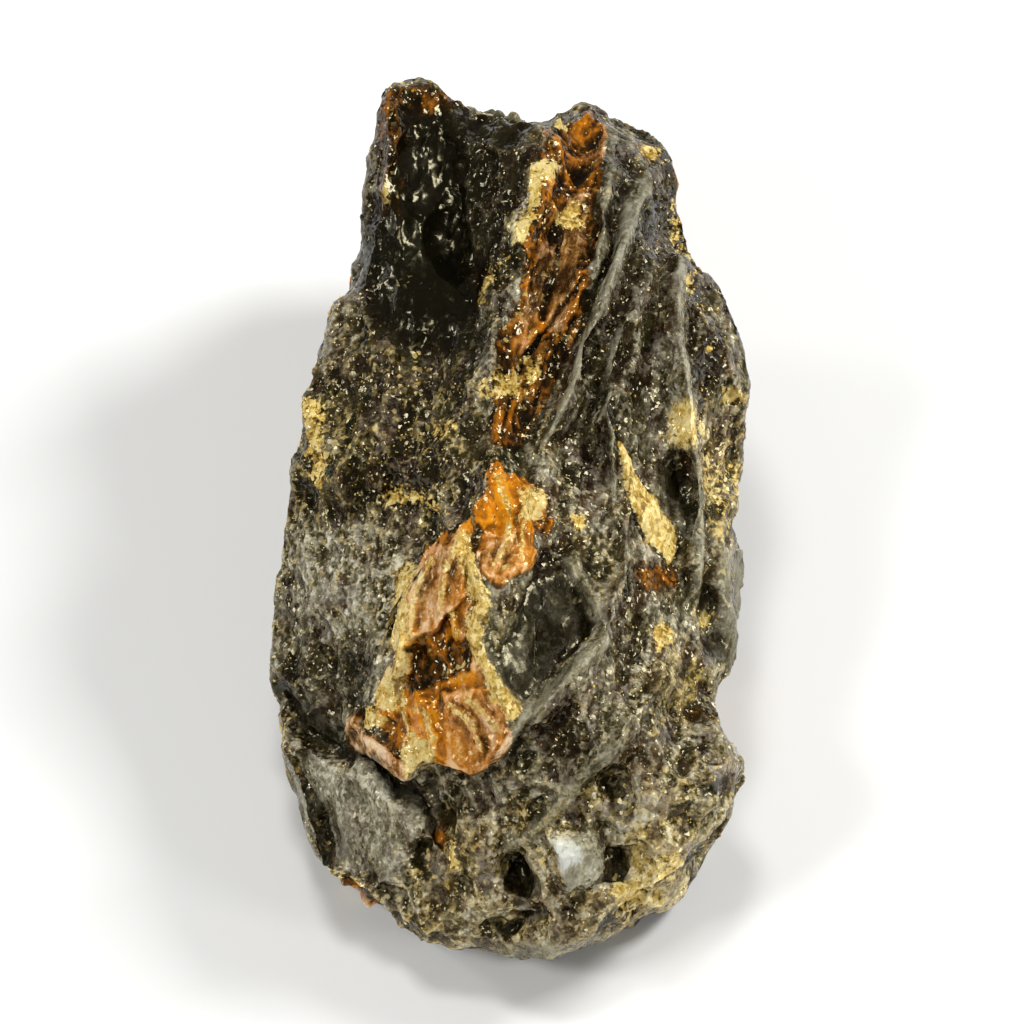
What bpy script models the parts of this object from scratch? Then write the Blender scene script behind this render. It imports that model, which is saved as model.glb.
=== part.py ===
"""A lump of raw dark amber: one solid, broken and weathered, lying on a flat fracture face.

Lengths are in metres, with MM for sizes given in millimetres. +Z is up and the origin is the
middle of the base. The lump lies along Y. Its show side is the one seen from the front, along +Y,
SHOW_ELEVATION above the horizontal. Forms on that side are placed on the show plane, which faces
that way through the lump's heart: u runs to the right and v up the plane, both in millimetres.
"""

import math

import bmesh
import bpy
import numpy as np
from mathutils import Vector, noise

MM = 0.001

# Driving dimensions, in millimetres.
HALF_WIDTH = 17.5
HALF_LENGTH = 35.0
HALF_HEIGHT = 15.0
FULLNESS = 2.45  # 2 is an ellipsoid, and more is squarer
FLOOR_DEPTH = 11.6  # from the heart down to the resting face
SHOW_ELEVATION = 55.0  # degrees

SPHERE_DETAIL = 7
TRIANGLES = 10400

# The outline of the show side, clockwise from the tip of the long ridge.
OUTLINE = (
    (4.8, 32.1), (7.4, 31.2), (10.1, 30.2), (11.9, 27.9), (12.9, 24.6), (13.8, 21.0),
    (15.7, 17.6), (17.4, 14.2), (18.2, 9.7), (17.8, 4.8), (17.4, 0.6), (17.9, -3.6),
    (17.4, -8.7), (16.6, -12.7), (16.0, -16.2), (17.4, -18.3), (17.6, -20.9), (16.2, -23.9),
    (14.6, -27.2), (11.8, -30.3), (8.3, -32.1), (4.8, -33.3), (1.4, -34.0), (-2.9, -33.4),
    (-7.8, -32.4), (-11.8, -30.0), (-14.6, -26.9), (-16.2, -23.6), (-17.6, -19.0),
    (-18.5, -12.7), (-18.1, -6.4), (-17.2, -0.1), (-16.9, 4.6), (-15.8, 9.9), (-14.3, 14.1),
    (-12.6, 19.0), (-11.5, 24.4), (-10.8, 29.3), (-9.3, 33.2), (-6.7, 33.5), (-3.6, 32.2),
    (0.6, 31.1), (3.1, 31.3),
)

STILL_MIDDLE = 0.3  # share of the way to the rim that fitting the outline leaves alone

# Fracture faces: bearing in degrees (0 faces +X, 90 faces +Y), tilt above the horizontal, and
# distance from the heart in millimetres.
FRACTURES = (
    (203.0, 44.0, 15.6),  # left shoulder
    (168.0, 12.0, 16.4),  # upper left flank
    (240.0, 24.0, 25.0),  # smooth face at the lower left
    (-12.0, 50.0, 15.2),  # right flank
    (12.0, 6.0, 17.2),  # upper right flank
    (84.0, 34.0, 27.5),  # back slope
    (266.0, 38.0, 26.0),  # front slope
    (18.0, -34.0, 17.4),  # right underside
    (-40.0, -20.0, 22.5),  # right front underside
    (163.0, -28.0, 17.0),  # left underside
    (214.0, -22.0, 20.5),  # left front underside
    (268.0, -38.0, 24.5),  # front underside
    (98.0, -32.0, 26.5),  # back underside
    (128.0, 10.0, 25.5),  # back left corner
    (52.0, 14.0, 27.5),  # back right corner
)
FRACTURE_EDGE = 42.0  # higher is a crisper edge between faces

# Shell-shaped scars on the other sides: bearing, tilt, angular radius in degrees, depth in mm.
SCARS = (
    (24.0, -6.0, 26.0, 2.2),
    (112.0, 30.0, 26.0, 2.6),
    (70.0, -2.0, 22.0, 2.4),
    (172.0, 10.0, 30.0, 1.9),
    (140.0, -16.0, 24.0, 2.2),
    (-36.0, -14.0, 22.0, 1.8),
    (236.0, -14.0, 20.0, 1.6),
    (200.0, -24.0, 26.0, 1.8),
)
RIPPLES = 2.6  # ripple rings in each scar
SCAR_RIPPLE = 0.1  # ripple height as a share of the scar's depth

WANDER = 0.7  # how far the show side's forms stray from their straight paths
RIB_HEIGHT = 0.9
RIB_SPACING = 5.5
ROUGHNESS = 0.45
ROUGH_LUMP = 5.0


def unit(bearing, tilt):
    """The unit vector at a bearing and a tilt, both in degrees."""
    b, t = math.radians(bearing), math.radians(tilt)
    return np.array((math.cos(b) * math.cos(t), math.sin(b) * math.cos(t), math.sin(t)))


TO_VIEWER = unit(270.0, SHOW_ELEVATION)
RIGHT = np.array((1.0, 0.0, 0.0))
UP_PLANE = np.cross(TO_VIEWER, RIGHT)


def ramp(low, high, x):
    """0 below low, 1 above high, and a smooth rise between."""
    t = np.clip((x - low) / (high - low), 0.0, 1.0)
    return t * t * (3.0 - 2.0 * t)


def along(path, u, v):
    """For each point, its signed distance to a path, positive on the path's left, and how far
    along the path its nearest point is, from 0 to 1."""
    path = np.array(path, float)
    lengths = np.linalg.norm(np.diff(path, axis=0), axis=1)
    starts = np.concatenate(([0.0], np.cumsum(lengths)))
    best = np.full(u.shape, 1e9)
    side = np.ones(u.shape)
    share = np.zeros(u.shape)
    for i, length in enumerate(lengths):
        (au, av), (bu, bv) = path[i], path[i + 1]
        du, dv = (bu - au) / length, (bv - av) / length
        t = np.clip((u - au) * du + (v - av) * dv, 0.0, length)
        gap = np.hypot(u - au - t * du, v - av - t * dv)
        nearer = gap < best
        best = np.where(nearer, gap, best)
        side = np.where(nearer, np.sign(du * (v - av) - dv * (u - au) + 1e-12), side)
        share = np.where(nearer, (starts[i] + t) / starts[-1], share)
    return best * side, share


def ends_fade(share, fade=0.15):
    """Fades a form out towards both ends of its path."""
    return ramp(0.0, fade, share) * ramp(0.0, fade, 1.0 - share)


def ridge(u, v, path, height, left, right, fade=0.15):
    """A crest along a path, as a roof with a slope of the given width on each side."""
    gap, share = along(path, u, v)
    slope = np.where(gap > 0, gap / left, -gap / right)
    return height * np.clip(1.0 - slope, 0.0, 1.0) ** 1.3 * ends_fade(share, fade)


def lump(u, v, centre, radii, height, turn=0.0):
    """A rounded swelling, or a hollow if the height is negative."""
    c, s = math.cos(math.radians(turn)), math.sin(math.radians(turn))
    du, dv = u - centre[0], v - centre[1]
    a, b = (du * c + dv * s) / radii[0], (dv * c - du * s) / radii[1]
    return height * np.exp(-(a * a + b * b) * 1.4)


def plateau(u, v, corners, height, edge):
    """A flat-topped slab with the given corners, convex and clockwise, and a short steep edge."""
    inside = np.full(u.shape, 1e9)
    for (au, av), (bu, bv) in zip(corners, corners[1:] + corners[:1]):
        length = math.hypot(bu - au, bv - av)
        inside = np.minimum(inside, ((v - av) * (bu - au) - (u - au) * (bv - av)) / -length)
    return height * ramp(-edge, edge * 0.3, inside)


def show_side_relief(u, v):
    """How far each point of the show side stands out, in millimetres."""
    out = np.zeros(u.shape)
    # The long crest, with a steep fall on its left and a shelf on its right.
    out += ridge(u, v, [(4.6, 36.0), (2.6, 26.0), (0.8, 19.0), (-1.8, 12.0), (-2.0, 2.0)],
                 3.2, 2.4, 6.5, 0.35)
    out += ridge(u, v, [(-1.4, 6.0), (-3.4, -0.6), (-6.0, -6.5), (-9.0, -12.0), (-12.6, -16.4)],
                 1.6, 1.6, 8.0, 0.3)
    # The hollow left of the crest, and the glassy shoulder beyond it.
    out += lump(u, v, (-4.6, 21.0), (3.2, 10.0), -3.2, 12.0)
    out += ridge(u, v, [(-9.0, 33.0), (-9.4, 26.0), (-10.6, 19.0)], 1.8, 2.6, 2.0)
    # The rounded left shoulder.
    out += lump(u, v, (-11.5, 1.5), (5.5, 9.5), 1.2, 12.0)
    out += lump(u, v, (-12.5, -7.0), (4.6, 4.6), 1.2)
    # The rust-coloured slab that ends in a ledge, and the crack below it.
    out += plateau(u, v, [(-1.4, 5.0), (2.8, -0.6), (0.6, -15.4), (-2.6, -20.0), (-7.8, -20.2),
                          (-12.8, -16.0), (-7.4, -5.2)], 2.1, 0.7)
    out -= ridge(u, v, [(-19.5, -12.0), (-15.6, -15.4), (-11.6, -18.4), (-7.4, -22.8),
                        (-5.6, -26.0)], 2.9, 1.1, 1.9, 0.12)
    # The flat facet below the crack, at the lower left.
    out -= plateau(u, v, [(-17.6, -19.4), (-13.2, -18.6), (-8.6, -22.0), (-7.0, -25.2),
                          (-9.2, -28.8), (-14.8, -27.6)], 0.8, 2.0)
    # The dark hollow face right of the slab.
    out -= plateau(u, v, [(1.2, -4.6), (4.4, -3.6), (6.6, -8.6), (3.6, -12.6), (0.4, -15.0),
                          (-0.6, -10.0)], 1.5, 0.9)
    # Flow ribs that fan out from the upper right, with a deep valley between each pair.
    out += ridge(u, v, [(7.6, 31.0), (7.6, 26.0), (7.4, 22.0), (5.4, 17.5), (2.2, 10.0)],
                 1.6, 1.2, 1.3, 0.25)
    out += ridge(u, v, [(11.0, 27.5), (10.0, 23.6), (8.4, 19.4), (6.4, 14.0), (4.6, 9.0),
                        (1.4, 3.4)], 2.6, 1.9, 1.7, 0.25)
    out += ridge(u, v, [(12.0, 22.0), (9.6, 16.0), (8.0, 10.4), (7.7, 6.4), (9.8, 1.8),
                        (12.2, -3.4)], 2.5, 1.9, 1.6)
    out += ridge(u, v, [(13.4, 24.0), (13.1, 14.0), (13.4, 9.0), (14.2, 3.0), (14.6, -3.0),
                        (14.4, -9.0)], 2.3, 1.5, 1.7)
    out += ridge(u, v, [(8.0, 6.0), (8.8, 1.0), (8.8, -4.0), (6.6, -9.5), (3.4, -13.2),
                        (-0.4, -18.0)], 2.0, 1.5, 1.9)
    out += ridge(u, v, [(13.0, -12.0), (9.1, -16.2), (6.0, -19.2), (3.4, -22.0)], 1.8, 1.4, 2.2)
    out += ridge(u, v, [(16.6, 4.0), (16.8, -4.0), (16.2, -12.0)], 1.3, 1.4, 1.6)
    # The knob at the lower right, and the notch above it.
    out += lump(u, v, (15.0, -20.6), (3.2, 3.0), 2.6)
    out -= ridge(u, v, [(18.0, -16.0), (14.0, -15.6), (11.6, -13.4)], 1.8, 1.4, 1.2)
    # Pits near the foot, and the small bright face between them.
    out += lump(u, v, (0.7, -27.4), (1.2, 1.9), -2.0, 20.0)
    out += lump(u, v, (0.3, -31.2), (2.4, 0.9), -1.8, 8.0)
    out += lump(u, v, (8.0, -26.8), (1.3, 1.9), -1.8, 10.0)
    out += plateau(u, v, [(2.6, -24.6), (6.6, -24.4), (6.8, -27.8), (4.2, -28.8)], 1.1, 0.6)
    out += lump(u, v, (-6.5, -27.0), (4.5, 3.4), 0.8)
    return out


def scar_relief(directions):
    """Shallow scoops with a few ripples, in millimetres inwards."""
    out = np.zeros(len(directions))
    for bearing, tilt, radius, depth in SCARS:
        angle = np.degrees(np.arccos(np.clip(directions @ unit(bearing, tilt), -1.0, 1.0)))
        share = np.clip(angle / radius, 0.0, 1.0)
        bowl = 1.0 - share**2
        ripple = SCAR_RIPPLE * np.cos(share * RIPPLES * 2.0 * math.pi) * (1.0 - share)
        out = np.minimum(out, -depth * (bowl + ripple))
    return out


def fractal(points, size, octaves, seed):
    """Fractal noise at each point, from about -1 to 1, with lumps of the given size in mm."""
    shift = Vector((seed * 17.3, seed * -9.1, seed * 5.7))
    return np.array([noise.fractal(Vector(p) / size + shift, 1.0, 2.1, octaves) for p in points])


def flow_ribs(points):
    """Crisp ribs that run lengthways, as the resin flowed, from 0 in a valley to 1 on a crest."""
    stretched = points * (1.0, 0.22, 1.0)
    return 1.0 - np.minimum(1.0, np.abs(fractal(stretched, RIB_SPACING, 2, 4)) * 2.6)


def base_body(directions):
    """The worn body: a full oval, trimmed by the fracture faces."""
    power = np.abs(directions) ** FULLNESS
    points = directions / power.sum(axis=1)[:, None] ** (1.0 / FULLNESS)
    points = points * (HALF_WIDTH, HALF_LENGTH, HALF_HEIGHT)
    keep = np.ones(len(points))
    for bearing, tilt, distance in FRACTURES:
        reach = points @ unit(bearing, tilt) / distance
        keep += np.clip(reach, 0.01, None) ** FRACTURE_EDGE
    return points / keep[:, None] ** (1.0 / FRACTURE_EDGE)


def closed_curve(corners, count):
    """Points spaced along a smooth closed curve through the corners."""
    p = np.array(corners, float)
    t = np.linspace(0.0, 1.0, count, endpoint=False)[:, None]
    a, b, c, d = (np.roll(p, k, axis=0)[:, None, :] for k in (1, 0, -1, -2))
    curve = 0.5 * (2 * b + (c - a) * t + (2 * a - 5 * b + 4 * c - d) * t**2
                   + (3 * b - a - 3 * c + d) * t**3)
    return curve.reshape(-1, 2)


def reach_by_angle(u, v, angles):
    """How far the points reach from the middle at each angle."""
    steps = len(angles)
    slot = np.floor((np.arctan2(v, u) + math.pi) / (2 * math.pi) * steps).astype(int) % steps
    reach = np.zeros(steps)
    np.maximum.at(reach, slot, np.hypot(u, v))
    return reach


def fit_outline(points):
    """Stretches the body in the show plane until its silhouette is the outline. The middle of
    the show side stays as it is, and the stretch grows towards the rim."""
    steps = 240
    angles = (np.arange(steps) + 0.5) / steps * 2 * math.pi - math.pi
    curve = closed_curve(OUTLINE, 40)
    wanted = reach_by_angle(curve[:, 0], curve[:, 1], angles)
    u, v = points @ RIGHT, points @ UP_PLANE
    reached = reach_by_angle(u, v, angles)
    turn = np.arctan2(v, u)
    push = np.interp(turn, angles, wanted / reached, period=2 * math.pi) - 1.0
    share = np.hypot(u, v) / np.interp(turn, angles, reached, period=2 * math.pi)
    push *= ramp(STILL_MIDDLE, 1.0, share)
    return points + np.outer(u * push, RIGHT) + np.outer(v * push, UP_PLANE)


def normals_of(mesh):
    flat = np.empty(len(mesh.vertices) * 3, np.float32)
    mesh.vertices.foreach_get("normal", flat)
    return flat.reshape(-1, 3).astype(float)


def set_points(mesh, points_mm):
    mesh.vertices.foreach_set("co", (points_mm * MM).astype(np.float32).ravel())
    mesh.update()


def shape_lump(mesh):
    """Moves a sphere's points to the surface of the lump, in millimetres about its heart."""
    flat = np.empty(len(mesh.vertices) * 3, np.float32)
    mesh.vertices.foreach_get("co", flat)
    directions = flat.reshape(-1, 3).astype(float)
    directions /= np.linalg.norm(directions, axis=1)[:, None]
    points = base_body(directions)
    points += directions * (fractal(points, 14.0, 3, 1) * 0.9)[:, None]
    points = fit_outline(points)
    set_points(mesh, points)
    facing = ramp(0.0, 0.35, normals_of(mesh) @ TO_VIEWER)
    u = points @ RIGHT + fractal(points, 6.0, 3, 5) * WANDER
    v = points @ UP_PLANE + fractal(points, 6.0, 3, 6) * WANDER
    points += np.outer(facing * show_side_relief(u, v), TO_VIEWER)
    set_points(mesh, points)
    normals = normals_of(mesh)
    away = 1.0 - facing
    heart_ray = points / np.linalg.norm(points, axis=1)[:, None]
    scars = scar_relief(heart_ray) * away
    ribs = flow_ribs(points) * RIB_HEIGHT * (0.35 + 0.65 * away) * ramp(-0.8, -0.2, scars)
    rough = fractal(points, ROUGH_LUMP, 4, 2) * ROUGHNESS
    points += normals * (scars + ribs + rough)[:, None]
    points = fit_outline(points)
    set_points(mesh, points)


def rest_on_base(mesh):
    """Cuts the lump off flat where it lies, and moves the origin to the middle of its base."""
    work = bmesh.new()
    work.from_mesh(mesh)
    everything = work.verts[:] + work.edges[:] + work.faces[:]
    cut = bmesh.ops.bisect_plane(
        work, geom=everything, dist=1e-7, plane_co=(0, 0, -FLOOR_DEPTH * MM),
        plane_no=(0, 0, 1), clear_inner=True,
    )
    rim = [e for e in cut["geom_cut"] if isinstance(e, bmesh.types.BMEdge)]
    bmesh.ops.holes_fill(work, edges=rim, sides=0)
    bmesh.ops.recalc_face_normals(work, faces=work.faces[:])
    lows = [min(p.co[k] for p in work.verts) for k in range(3)]
    highs = [max(p.co[k] for p in work.verts) for k in range(3)]
    shift = Vector((-(lows[0] + highs[0]) / 2, -(lows[1] + highs[1]) / 2, -lows[2]))
    bmesh.ops.translate(work, verts=work.verts[:], vec=shift)
    work.to_mesh(mesh)
    work.free()


def amber_material():
    material = bpy.data.materials.new("weathered_dark_amber")
    material.use_nodes = True
    shader = material.node_tree.nodes["Principled BSDF"]
    shader.inputs["Base Color"].default_value = (0.052, 0.036, 0.016, 1.0)
    shader.inputs["Roughness"].default_value = 0.32
    shader.inputs["Metallic"].default_value = 0.0
    shader.inputs["IOR"].default_value = 1.54
    return material


def applied(obj):
    """Replaces the object's mesh with what its modifiers make of it."""
    graph = bpy.context.evaluated_depsgraph_get()
    made = bpy.data.meshes.new_from_object(obj.evaluated_get(graph))
    obj.modifiers.clear()
    obj.data = made


def make_lump(collection):
    bpy.ops.mesh.primitive_ico_sphere_add(subdivisions=SPHERE_DETAIL, radius=1.0)
    lump_object = bpy.context.object
    lump_object.name = "amber_lump"
    for other in list(lump_object.users_collection):
        other.objects.unlink(lump_object)
    collection.objects.link(lump_object)
    shape_lump(lump_object.data)
    thin = lump_object.modifiers.new("fewer_faces", "DECIMATE")
    thin.ratio = TRIANGLES / len(lump_object.data.polygons)
    applied(lump_object)
    rest_on_base(lump_object.data)
    lump_object.data.name = "amber_lump"
    lump_object.data.materials.append(amber_material())
    return lump_object


def main():
    for old in list(bpy.data.objects):
        bpy.data.objects.remove(old)
    collection = bpy.data.collections.new("raw_amber_piece")
    bpy.context.scene.collection.children.link(collection)
    make_lump(collection)


main()
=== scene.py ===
"""A raw lump of dark amber: its broken, crusted surface, lying on a pale table."""

import math

import bpy
import numpy as np
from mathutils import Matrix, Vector, kdtree, noise


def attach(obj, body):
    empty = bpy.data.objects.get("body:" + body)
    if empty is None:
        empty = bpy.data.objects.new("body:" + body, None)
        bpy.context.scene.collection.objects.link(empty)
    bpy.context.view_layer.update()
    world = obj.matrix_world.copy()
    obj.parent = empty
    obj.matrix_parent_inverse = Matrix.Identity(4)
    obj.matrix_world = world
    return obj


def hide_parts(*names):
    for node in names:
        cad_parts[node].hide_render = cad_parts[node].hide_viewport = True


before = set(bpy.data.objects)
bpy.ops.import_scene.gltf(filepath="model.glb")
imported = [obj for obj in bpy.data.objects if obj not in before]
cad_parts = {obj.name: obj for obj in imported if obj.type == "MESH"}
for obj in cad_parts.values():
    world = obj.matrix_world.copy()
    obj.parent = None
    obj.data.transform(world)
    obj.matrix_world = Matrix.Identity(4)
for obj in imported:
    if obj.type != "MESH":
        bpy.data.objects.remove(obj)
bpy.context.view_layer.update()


# ---- The lump's form -----------------------------------------------------------------------
# One piece of fossil resin, dug up and broken. Its solid is welded, cut into fine faces, and
# worked over with what its show side has: flat fracture faces, a ledge over a crack, thin
# flow ribs and blades that stand proud, and pits.
MM = 0.001
FINE_FACE = 0.2 * MM
EASE = 22  # smoothing passes that take the solid's own facets out
WANDER = 0.55  # how far the edges of the crust wander, in mm, in lumps of WANDER_SIZE
WANDER_SIZE = 2.4
RIB_WANDER = 0.25  # ribs run straighter than the edges of the crust, by this share
HEART = np.array((0.168, 1.612, 11.6))  # where the middle of the show plane lies, in mm
SHOW_ELEVATION = math.radians(55.0)
TO_VIEWER = np.array((0.0, -math.cos(SHOW_ELEVATION), math.sin(SHOW_ELEVATION)))
UP_PLANE = np.array((0.0, math.sin(SHOW_ELEVATION), math.cos(SHOW_ELEVATION)))


def ramp(low, high, x):
    """0 below low, 1 above high, and a smooth rise between."""
    t = np.clip((x - low) / (high - low), 0.0, 1.0)
    return t * t * (3.0 - 2.0 * t)


def fractal(points, size, octaves, seed):
    """Fractal noise at each point, from about -1 to 1, with lumps of the given size in mm."""
    shift = Vector((seed * 11.9, seed * -7.3, seed * 3.1))
    return np.array([noise.fractal(Vector(p) / size + shift, 1.0, 2.1, octaves) for p in points])


def near_path(u, v, path):
    """For each point, its signed distance to a path, positive on the left of it, and how far
    along the path its nearest point is, from 0 to 1."""
    path = np.array(path, float)
    lengths = np.linalg.norm(np.diff(path, axis=0), axis=1)
    starts = np.concatenate(([0.0], np.cumsum(lengths)))
    best = np.full(u.shape, 1e9)
    side = np.ones(u.shape)
    share = np.zeros(u.shape)
    for i, length in enumerate(lengths):
        (au, av), (bu, bv) = path[i], path[i + 1]
        du, dv = (bu - au) / length, (bv - av) / length
        t = np.clip((u - au) * du + (v - av) * dv, 0.0, length)
        gap = np.hypot(u - au - t * du, v - av - t * dv)
        nearer = gap < best
        best = np.where(nearer, gap, best)
        side = np.where(nearer, np.sign(du * (v - av) - dv * (u - au) + 1e-12), side)
        share = np.where(nearer, (starts[i] + t) / starts[-1], share)
    return best * side, share


def band(u, v, path, width, tip_width=None, feather=1.2):
    """1 along a path and 0 beside it. The width in mm may change from one end to the other."""
    gap, share = near_path(u, v, path)
    half = (width + ((tip_width or width) - width) * share) / 2
    ends = ramp(0.0, 0.06, share) * ramp(0.0, 0.06, 1.0 - share)
    return ramp(feather / 2, -feather / 2, np.abs(gap) - half) * ends


def spot(u, v, centre, radii, turn=0.0):
    """1 in the middle of an oval, falling to 0 a little outside its rim."""
    c, s = math.cos(math.radians(turn)), math.sin(math.radians(turn))
    du, dv = u - centre[0], v - centre[1]
    a, b = (du * c + dv * s) / radii[0], (dv * c - du * s) / radii[1]
    return ramp(1.5, 0.2, np.hypot(a, b))


def patch(u, v, corners, feather=0.8):
    """1 inside the corners and 0 outside, with a soft edge."""
    gap, _ = near_path(u, v, corners + corners[:1])
    inside = np.zeros(u.shape, bool)
    for (au, av), (bu, bv) in zip(corners, corners[1:] + corners[:1]):
        crosses = (av > v) != (bv > v)
        reach = au + (v - av) * (bu - au) / (bv - av if bv != av else 1e-9)
        inside ^= crosses & (u < reach)
    signed = np.where(inside, np.abs(gap), -np.abs(gap))
    return ramp(-feather / 2, feather / 2, signed)


def ridge(u, v, path, height, width, fade=0.12):
    """A sharp crest along a path, fading at both ends. A negative height is a groove."""
    gap, share = near_path(u, v, path)
    ends = ramp(0.0, fade, share) * ramp(0.0, fade, 1.0 - share)
    return height * np.clip(1.0 - np.abs(gap) / width, 0.0, 1.0) ** 1.4 * ends


def evaluated_copy(obj):
    """A plain mesh of the object as its modifiers leave it."""
    graph = bpy.context.evaluated_depsgraph_get()
    return bpy.data.meshes.new_from_object(obj.evaluated_get(graph))


def read_points(mesh):
    flat = np.empty(len(mesh.vertices) * 3, np.float32)
    mesh.vertices.foreach_get("co", flat)
    return flat.reshape(-1, 3).astype(float) / MM


def write_points(mesh, points):
    mesh.vertices.foreach_set("co", (points * MM).astype(np.float32).ravel())
    mesh.update()


def read_normals(mesh):
    flat = np.empty(len(mesh.vertices) * 3, np.float32)
    mesh.vertices.foreach_get("normal", flat)
    return flat.reshape(-1, 3).astype(float)


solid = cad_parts["amber_lump"]
lump = bpy.data.objects.new("amber_body", solid.data.copy())
bpy.context.scene.collection.objects.link(lump)
weld = lump.modifiers.new("weld", "WELD")
weld.merge_threshold = 0.00001
fine = lump.modifiers.new("fine_faces", "REMESH")
fine.mode = "VOXEL"
fine.voxel_size = FINE_FACE
ease = lump.modifiers.new("ease_facets", "SMOOTH")
ease.iterations = EASE
ease.factor = 0.5
worked = evaluated_copy(lump)
lump.modifiers.clear()
lump.data = worked
worked.name = "amber_body"
worked.materials.clear()

points = read_points(worked)
from_heart = points - HEART
facing = ramp(-0.05, 0.3, read_normals(worked) @ TO_VIEWER)  # 0 on the back, 1 on the show side
straight_u = from_heart[:, 0]
straight_v = from_heart @ UP_PLANE
u = straight_u + fractal(points, WANDER_SIZE, 5, 1) * WANDER
v = straight_v + fractal(points, WANDER_SIZE, 5, 2) * WANDER
flow_u = straight_u + (u - straight_u) * RIB_WANDER
flow_v = straight_v + (v - straight_v) * RIB_WANDER

RIB_A = [(10.6, 26.0), (9.2, 23.2), (8.4, 20.4), (6.8, 16.2), (5.7, 13.2), (4.9, 10.6),
         (3.5, 7.2), (1.6, 4.2)]
RIB_B = [(8.7, 14.9), (7.7, 11.4), (7.3, 8.0), (8.0, 5.4)]
RIB_B_BRANCH = [(7.4, 7.4), (7.6, 3.0), (8.6, -1.5), (8.8, -6.0)]
RIB_C = [(12.7, 20.6), (13.0, 15.9), (13.1, 12.5), (13.5, 9.9), (14.0, 3.1), (14.6, -1.0),
         (14.4, -7.0)]
STRIP = [(7.7, 30.2), (7.3, 26.0), (7.0, 22.0), (5.8, 18.2)]
DIAGONAL_1 = [(8.0, -9.2), (5.6, -10.8), (3.5, -12.9), (0.7, -15.6), (-1.4, -19.2)]
DIAGONAL_2 = [(8.6, -17.0), (5.6, -19.6), (3.4, -22.4), (-0.4, -26.0)]
FAR_EDGE = [(17.2, -2.5), (17.0, -8.0), (16.6, -12.0)]
VEIL = [(4.2, -3.3), (5.6, -5.6), (6.6, -8.4)]
FLANGE = [(-13.2, -16.0), (-10.8, -17.9), (-7.4, -20.2)]
CRACK = [(-19.0, -12.6), (-15.6, -15.6), (-11.6, -18.9), (-7.4, -22.8), (-5.6, -26.0)]
SLAB_EDGE = [(-2.0, 5.4), (-3.8, -0.4), (-6.9, -2.9), (-8.6, -5.5), (-9.9, -10.6), (-10.9, -15.5)]
BLADE = [(-3.6, -2.6), (-2.2, -6.6), (-2.8, -9.6), (-1.4, -12.4), (0.4, -15.6)]
VEIN_RIM = [(3.2, 31.0), (1.2, 25.6), (0.0, 22.4), (0.6, 20.4), (-1.6, 18.6), (-2.3, 15.4),
            (-1.9, 11.0), (-1.7, 6.0)]
POCKET = [(1.0, 18.6), (-0.6, 17.0), (-1.0, 14.6)]
VEIN_CREASE = [(5.6, 18.4), (4.2, 16.0), (2.2, 13.4), (0.6, 11.0)]
# Thin sheets of orange resin lie over each other, and each ends in a fold. The vein is creased.
SHEET_FOLDS = (
    [(-3.9, -1.2), (-5.2, -4.6), (-5.6, -8.0)],
    [(-6.0, -3.4), (-7.4, -6.4), (-7.8, -10.0)],
    [(-8.2, -8.0), (-8.6, -11.0), (-9.6, -14.6)],
    [(-4.6, -7.2), (-4.0, -9.8)],
    [(-8.8, -13.6), (-8.2, -16.0), (-8.0, -18.4)],
    [(-5.0, -14.2), (-3.2, -16.0), (-2.2, -18.4)],
    [(-3.6, -13.8), (-1.0, -16.4)],
    [(-7.0, -14.4), (-6.0, -17.0), (-6.2, -19.2)],
    [(-1.4, 3.6), (-0.2, 0.6), (-0.4, -2.2), (-1.6, -4.4)],
    [(0.7, 2.2), (1.1, -0.4), (0.7, -3.6)],
)
VEIN_STRIPES = (
    [(5.6, 27.6), (4.4, 24.0), (3.6, 20.0), (3.4, 17.0)],
    [(3.4, 26.0), (2.6, 22.6), (1.6, 19.4)],
    [(5.0, 15.2), (3.2, 11.8), (1.2, 7.6)],
    [(1.0, 12.0), (0.0, 9.0), (-0.8, 6.4)],
)

# Flat fracture faces, each with how far it is sunk and how soft its edge is, in mm.
CRISP = 0.45
DARK_FACET = [(1.9, -4.7), (4.2, -4.3), (6.2, -8.6), (3.2, -12.0), (0.2, -14.4), (-1.0, -10.6)]
GREY_FACET = [(-17.9, -17.9), (-13.0, -19.0), (-7.7, -22.5), (-6.7, -25.6), (-9.1, -28.1),
              (-15.1, -26.3)]
# The bright facet carries a painted highlight: pale satin colour that stands in for a reflection of
# the lamps.
FACET_WITH_PAINTED_HIGHLIGHT = [(2.8, -24.9), (6.4, -24.6), (6.6, -27.7), (4.1, -28.4)]
SIDE_FACET = [(6.8, -25.0), (9.2, -25.6), (9.0, -28.6), (6.8, -28.2)]
APEX_FACET = [(-1.7, 5.0), (-0.4, 2.6), (0.4, -0.6), (-2.6, -1.4), (-3.0, 0.6)]
OVAL_FACET = [(0.3, 2.2), (1.6, 2.4), (2.9, 1.2), (2.9, -0.6), (1.6, -1.4), (0.6, 0.0)]
LOWER_FACET = [(-2.6, -1.8), (1.0, -1.2), (2.8, -2.6), (1.0, -4.4), (-1.4, -5.6), (-2.8, -4.0)]
SLAB_FACETS = (
    [(-4.2, -1.6), (-6.4, -3.4), (-8.2, -6.4), (-8.4, -9.6), (-5.8, -9.0), (-3.2, -6.4)],
    [(-7.8, -13.4), (-8.2, -10.2), (-5.4, -9.6), (-2.9, -10.0), (-3.4, -11.8), (-5.6, -12.8)],
    [(-9.6, -15.6), (-7.6, -14.0), (-5.4, -13.6), (-5.6, -17.0), (-8.4, -18.6)],
    [(-5.0, -13.4), (-1.6, -13.2), (0.0, -15.6), (-2.2, -19.4), (-5.2, -19.8), (-5.2, -16.6)],
)
VALLEY_FACET = [(9.0, -1.0), (12.4, -5.0), (12.0, -9.0), (9.4, -9.4), (8.8, -5.0)]
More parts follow.
